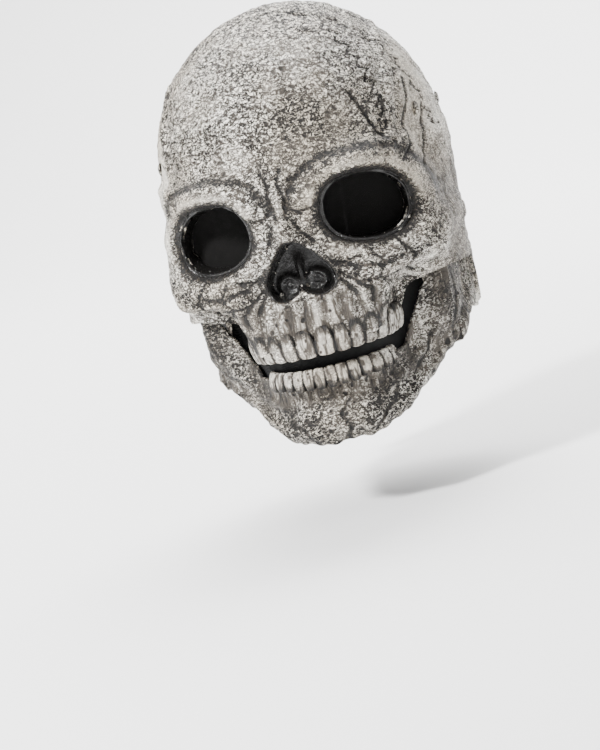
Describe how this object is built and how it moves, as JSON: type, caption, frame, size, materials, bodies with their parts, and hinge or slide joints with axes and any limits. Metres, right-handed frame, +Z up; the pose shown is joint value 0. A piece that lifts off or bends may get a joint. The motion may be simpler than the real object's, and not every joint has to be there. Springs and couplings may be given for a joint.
{
  "type": "latex halloween mask",
  "caption": "Full-head skull mask in two latex castings; the hinged jaw moves with the wearer's chin on a hidden frame, with screened eyes, foam pads and a strap.",
  "frame": {"origin": "midpoint of the jaw hinge line, between the wearer's temples", "axes": "+X to the wearer's left, -Y out through the face, +Z up to the crown"},
  "size_m": [0.1932, 0.2487, 0.272],
  "materials": {
    "bone_rubber": "matt painted latex, black wash in the hollows",
    "eye_mesh": "fine black see-through mesh",
    "black_cloth": "matt knitted cloth",
    "frame_plastic": "moulded, satin",
    "foam": "soft open-cell foam",
    "webbing": "woven",
    "buckle_plastic": "moulded, satin",
    "steel": "dull",
    "nylon": "smooth",
    "elastic": "flat elastic"
  },
  "bodies": {
    "skull": {"skull_skin": "bone_rubber", "left_eye_screen": "eye_mesh", "right_eye_screen": "eye_mesh", "mouth_cloth": "black_cloth", "head_frame": "frame_plastic", "forehead_pad": "foam", "crown_pad": "foam", "left_temple_pad": "foam", "right_temple_pad": "foam", "nape_pad": "foam", "rear_strap": "webbing", "left_strap_stud": "steel", "right_strap_stud": "steel", "left_front_rivet": "steel", "right_front_rivet": "steel", "left_rear_rivet": "steel", "right_rear_rivet": "steel", "left_hinge_post": "steel", "right_hinge_post": "steel", "left_hinge_washer": "steel", "right_hinge_washer": "steel", "left_return_band": "elastic", "right_return_band": "elastic", "slit_tape": "black_cloth", "tab_anchor": "webbing", "loop_patch": "webbing"},
    "jaw": {"jaw_skin": "bone_rubber", "jaw_frame": "frame_plastic", "chin_pad": "foam", "left_jaw_rivet": "steel", "right_jaw_rivet": "steel", "left_hinge_bush": "nylon", "right_hinge_bush": "nylon"},
    "tab": {"closing_tab": "webbing"},
    "slider": {"strap_slider": "buckle_plastic"}
  },
  "joints": [
    {"name": "jaw_hinge", "type": "hinge", "parent": "skull", "child": "jaw", "pos_m": [0, 0, 0], "axis": [1, 0, 0], "range_deg": [-3, 18], "stiffness_Nm_per_rad": 0.8, "springref_deg": -5.73, "deforming": ["mouth_cloth", "left_return_band", "right_return_band"]},
    {"name": "tab_hinge", "type": "hinge", "parent": "skull", "child": "tab", "pos_m": [0.024, 0.0948, -0.041], "axis": [0, 0, -1], "range_deg": [0, 120]},
    {"name": "slider_slide", "type": "slide", "parent": "skull", "child": "slider", "axis": [-0.6616, 0.7498, 0], "range_m": [-0.01, 0.01]}
  ]
}
